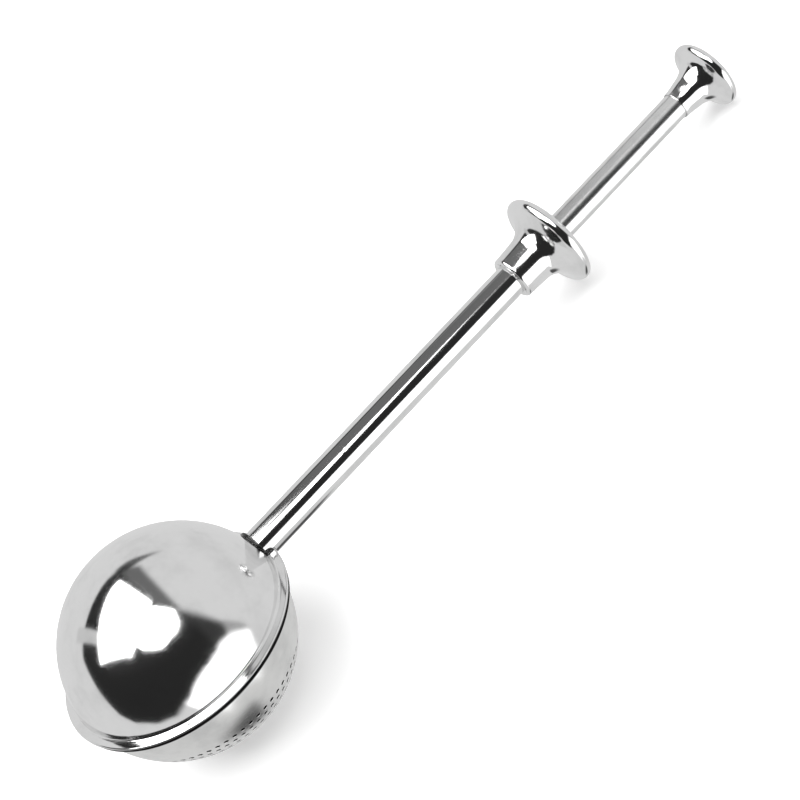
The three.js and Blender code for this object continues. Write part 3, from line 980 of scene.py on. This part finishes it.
def steel(name, colour, dull, roughness, lines=0.0, grain_depth=0.0, scratch=0.3, waviness=0.0, centre=None):
    """One finish of stainless steel. Colour is its brightest tone and dull is its darkest. A half of the
    ball gives the height of its curve's centre, and the rest is finished round the handle."""
    material = bpy.data.materials.new(name)
    material.use_nodes = True
    tree = material.node_tree
    shader = tree.nodes["Principled BSDF"]
    shader.inputs["Metallic"].default_value = 1.0
    coords = node(tree, "ShaderNodeTexCoord")
    links = {
        0: stretched(tree, coords.outputs["Object"], (1000, 1000, 1000)),
        1: (0, 0, -HANDLE_HEIGHT if centre is None else 0),
    }
    place = node(tree, "ShaderNodeVectorMath", links, operation="ADD").outputs[0]
    parts = node(tree, "ShaderNodeSeparateXYZ", {0: place}).outputs
    axis, one, two = (0, 1, 2) if centre is None else (2, 0, 1)
    off_axis = node(tree, "ShaderNodeCombineXYZ", {0: parts[one], 1: parts[two]})
    outward = node(tree, "ShaderNodeVectorMath", {0: off_axis.outputs[0]}, operation="LENGTH")

    links = {"Place": place, "Density": scratch}
    marks = node(tree, "ShaderNodeGroup", links, node_tree=scratches).outputs["Marks"]
    links = {"Along": parts[axis], "Out": outward.outputs["Value"]}
    spun = node(tree, "ShaderNodeGroup", links, node_tree=rings).outputs["Lines"]
    drawn = node(tree, "ShaderNodeGroup", {"Place": place}, node_tree=grain).outputs["Grain"]
    use = node(tree, "ShaderNodeGroup", {"Place": place}, node_tree=traces).outputs["Cloud"]

    tone = add_shares(tree, 0.0, [(use, 0.6), (marks, 0.5)])
    finished = mix_colour(tree, tone, (*colour, 1), (*dull, 1))
    shares = [(use, 0.05), (spun, 0.08 * lines), (drawn, 0.12 * grain_depth), (marks, 0.12)]
    dulled = add_shares(tree, roughness, shares)
    if centre is not None:
        # Painted shade: the ball's inside, the seam between the rims and the hole walls are darkened in the
        # colour.
        depth = node(tree, "ShaderNodeGroup", {"Place": place, "Centre": centre}, node_tree=hollow).outputs
        finished = mix_colour(tree, depth["Inside"], finished, PAINTED_INSIDE_SHADE)
        dark = maths(tree, "MAXIMUM", depth["Seam"], depth["Hole Shade"])
        finished = mix_colour(tree, dark, finished, PAINTED_SEAM_AND_HOLE_SHADE)
        dulled = add_shares(tree, dulled, [(depth["Inside"], 0.2)])
    tree.links.new(finished, shader.inputs["Base Color"])
    tree.links.new(dulled, shader.inputs["Roughness"])

    wave = noise(tree, place, 0.16, 1.0)
    shares = [(wave, waviness), (spun, 0.004 * lines), (drawn, 0.006 * grain_depth), (marks, -0.002)]
    links = {"Height": add_shares(tree, 0.0, shares), "Strength": 1.0, "Distance": MM}
    tree.links.new(node(tree, "ShaderNodeBump", links).outputs[0], shader.inputs["Normal"])
    return material


BRIGHT = (0.88, 0.88, 0.88)
finishes = {
    "dome": steel(
        "mirror dome", BRIGHT, (0.72, 0.72, 0.72), 0.055,
        lines=0.5, waviness=0.02, centre=DOME_DEPTH - BALL_R,
    ),
    "strainer": steel(
        "pressed strainer", (0.82, 0.82, 0.81), (0.6, 0.6, 0.6), 0.17,
        lines=1.0, waviness=0.03, centre=bowl_middle,
    ),
    "tube": steel("drawn tube", (0.85, 0.85, 0.85), (0.66, 0.66, 0.66), 0.05, grain_depth=0.2, scratch=0.12),
    "rod": steel("slid rod", (0.85, 0.85, 0.85), (0.66, 0.66, 0.66), 0.12, grain_depth=1.0),
    # Painted shade: the foot ring is near black for the shade of the gap at the tube's foot.
    "foot": steel("foot ring with painted gap shade", (0.09, 0.09, 0.09), (0.02, 0.02, 0.02), 0.14, lines=1.0),
    "flange": steel("spun flange", BRIGHT, (0.7, 0.7, 0.7), 0.045, lines=0.7, waviness=0.01),
    "knob": steel("spun knob", BRIGHT, (0.7, 0.7, 0.7), 0.045, lines=0.7, waviness=0.01),
    "cover": steel("flange cover", (0.82, 0.82, 0.82), (0.6, 0.6, 0.6), 0.09, lines=1.2),
    "cap": steel("knob cover", (0.82, 0.82, 0.82), (0.6, 0.6, 0.6), 0.09, lines=1.2),
    "inner": steel("plain inner steel", (0.66, 0.66, 0.65), (0.45, 0.45, 0.45), 0.28, lines=0.5),
}
for piece, finish in (
    (dome, "dome"), (strainer, "strainer"), (tube, "tube"), (rod, "rod"), (foot, "foot"), (flange, "flange"),
    (knob, "knob"), (cover, "cover"), (cap, "cap"), (plug, "inner"), (saddle, "inner"),
):
    piece.data.materials.clear()
    piece.data.materials.append(finishes[finish])
print("finishes:", ", ".join(sorted(finishes)))

# %% [markdown]
# ## The floor
# A plain pale floor, large enough that its edge never shows. The steel doesn't mirror it: a studio shot
# of polished steel is lit with white cards all round, and those cards are part of the light below.

# %% Floor
floor_mesh = bmesh.new()
bmesh.ops.create_grid(floor_mesh, x_segments=4, y_segments=4, size=6.0)
floor_data = bpy.data.meshes.new("floor")
floor_mesh.to_mesh(floor_data)
floor_mesh.free()
floor = bpy.data.objects.new("floor", floor_data)
bpy.context.scene.collection.objects.link(floor)
floor.location.z = -0.0002
floor.visible_glossy = False
paper = bpy.data.materials.new("floor paper")
paper.use_nodes = True
paper_tree = paper.node_tree
paper_shader = paper_tree.nodes["Principled BSDF"]
paper_shader.inputs["Roughness"].default_value = 0.9
paper_shader.inputs["Specular IOR Level"].default_value = 0.1
paper_shader.inputs["Emission Color"].default_value = (1, 1, 1, 1)
paper_shader.inputs["Emission Strength"].default_value = 0.35
paper_coords = node(paper_tree, "ShaderNodeTexCoord")
paper_noise = noise(paper_tree, paper_coords.outputs["Object"], 300.0, 3.0)
paper_tone = mix_colour(paper_tree, paper_noise, (0.9, 0.9, 0.9, 1), (0.92, 0.92, 0.92, 1))
paper_tree.links.new(paper_tone, paper_shader.inputs["Base Color"])
floor_data.materials.append(paper)
floor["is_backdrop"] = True

# %% [markdown]
# ## The light
# Polished steel shows its surroundings and nothing else, so the light is planned as a map of the sky over
# the infuser: the middle of the map is straight up, and distance from it is the angle away from that, in
# degrees. Two softboxes hang above, one of them tilted, the room behind the camera is dark, pale cards
# stand on every other side, and a little shade lies straight below. Lamps and boards could do the same,
# but a map drawn with a few nodes in the world's own shader gives clean mirrors without noise.

# %% Light map
world = bpy.data.worlds.new("studio")
bpy.context.scene.world = world
world.use_nodes = True
sky = world.node_tree
sky.nodes.clear()
sky_out = node(sky, "ShaderNodeOutputWorld")
sky_way = node(sky, "ShaderNodeTexCoord")
sky_parts = node(sky, "ShaderNodeSeparateXYZ", {0: sky_way.outputs["Generated"]})
sky_angle = maths(sky, "ARCCOSINE", sky_parts.outputs[2])
sky_flat = node(sky, "ShaderNodeCombineXYZ", {0: sky_parts.outputs[0], 1: sky_parts.outputs[1]})
sky_unit = node(sky, "ShaderNodeVectorMath", {0: sky_flat.outputs[0]}, operation="NORMALIZE")
sky_degrees = maths(sky, "MULTIPLY", sky_angle, 180 / math.pi)
sky_map = node(sky, "ShaderNodeVectorMath", {0: sky_unit.outputs[0], "Scale": sky_degrees}, operation="SCALE")


def side(normal, distance, softness):
    """1 on the near side of a line on the map, 0 beyond it. The line is distance from the middle."""
    length = math.hypot(*normal)
    unit = (normal[0] / length, normal[1] / length, 0)
    dot = node(sky, "ShaderNodeVectorMath", {0: sky_map.outputs[0], 1: unit}, operation="DOT_PRODUCT")
    return spread(sky, dot.outputs["Value"], distance + softness / 2, distance - softness / 2)


def polygon(corners, softness):
    """1 inside a shape with straight sides on the map. Its corners run anticlockwise, and the side that
    leaves each corner may have a softness of its own."""
    mask = None
    widths = softness if isinstance(softness, list) else [softness] * len(corners)
    for (ax, ay), (bx, by), width in zip(corners, corners[1:] + corners[:1], widths):
        outward = (by - ay, ax - bx)
        length = math.hypot(*outward)
        one = side(outward, (outward[0] * ax + outward[1] * ay) / length, width)
        mask = one if mask is None else maths(sky, "MULTIPLY", mask, one)
    return mask


def layer(under, mask, level):
    """Covers what is under with one level of light where the mask is 1."""
    links = {"Factor": mask, "A": under, "B": level}
    return node(sky, "ShaderNodeMix", links, data_type="FLOAT").outputs["Result"]


CARD = 0.72
DARK = 0.022
SHADE = 0.09
SOFTBOX = 3.6
LOW_CARD = 1.7
SIDE_CARD = 0.4
WEDGE = 0.1
DIM_BAND = 0.15
STRIPE = 0.6
low_card = [(-62, -134), (70, -134), (76, -71), (-60, -71)]
dark_room = [
    (26, -80), (19, 44), (3, 48.5), (-33, 44.5), (-52, 41), (-72, 24),
    (-91, 7.5), (-98, -8), (-95, -40), (-80, -66), (-50, -82), (0, -84.5),
]
dark_edges = [12, 4, 2, 2, 2, 2, 3, 3, 5, 8, 5, 4]
dark_corner = [(0, -84), (46, -73), (50, -62), (24, -32), (0, -32)]
tilted_box = [(-53.5, 15.5), (-37, -18), (-26, -19), (12, -7.5), (10.5, 11), (8, 35.5), (0, 36), (-20, 29.5)]
eight_sided_box = [
    (-26, -19.5), (-26.5, -26.5), (-19, -38.5), (-11.5, -43),
    (7.5, -43.5), (15, -39.5), (20.5, -27), (9.5, -10),
]
straight_down = spread(sky, sky_angle, math.radians(156), math.radians(168))
ball_end = spread(sky, sky_parts.outputs[0], 0.03, -0.02)
light = layer(CARD, maths(sky, "MULTIPLY", straight_down, ball_end), SHADE)
light = layer(light, polygon(low_card, 6), LOW_CARD)
light = layer(light, polygon([(34, -73), (70, -71), (76, -66), (40, -55), (30, -54)], 8), SIDE_CARD)
light = layer(light, polygon([(10, 38), (42, 38.5), (20, 48.5), (10, 49)], 4), WEDGE)
light = layer(light, polygon(dark_corner, [4, 8, 12, 4, 4]), 2 * DARK)
light = layer(light, polygon(dark_room, dark_edges), DARK)
light = layer(light, polygon([(12, -30), (24, -30), (25, 34), (12, 41)], 6), DIM_BAND)
light = layer(light, polygon([(-40, 18), (-30.5, 22), (-32.5, 54), (-42.5, 54)], 2), STRIPE)
light = layer(light, polygon(tilted_box, 1.2), SOFTBOX)
light = layer(light, polygon(eight_sided_box, 2.2), SOFTBOX)
lights = node(sky, "ShaderNodeBackground", {"Color": (1, 1, 1, 1), "Strength": light})
backdrop = node(sky, "ShaderNodeBackground", {"Color": (0.93, 0.93, 0.93, 1), "Strength": 1.0})
seen = node(sky, "ShaderNodeLightPath")
links = {0: seen.outputs["Is Camera Ray"], 1: lights.outputs[0], 2: backdrop.outputs[0]}
choice = node(sky, "ShaderNodeMixShader", links)
sky.links.new(choice.outputs[0], sky_out.inputs[0])

scene = bpy.context.scene
scene.view_settings.view_transform = "Standard"
scene.view_settings.look = "None"
print("light map drawn with", len(sky.nodes), "nodes")

# %% Sizes and finish
visual_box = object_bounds()
for name, corners in (("solid model", cad_box), ("this scene", visual_box)):
    print(name, [[round(x / MM, 2) for x in corner] for corner in corners])
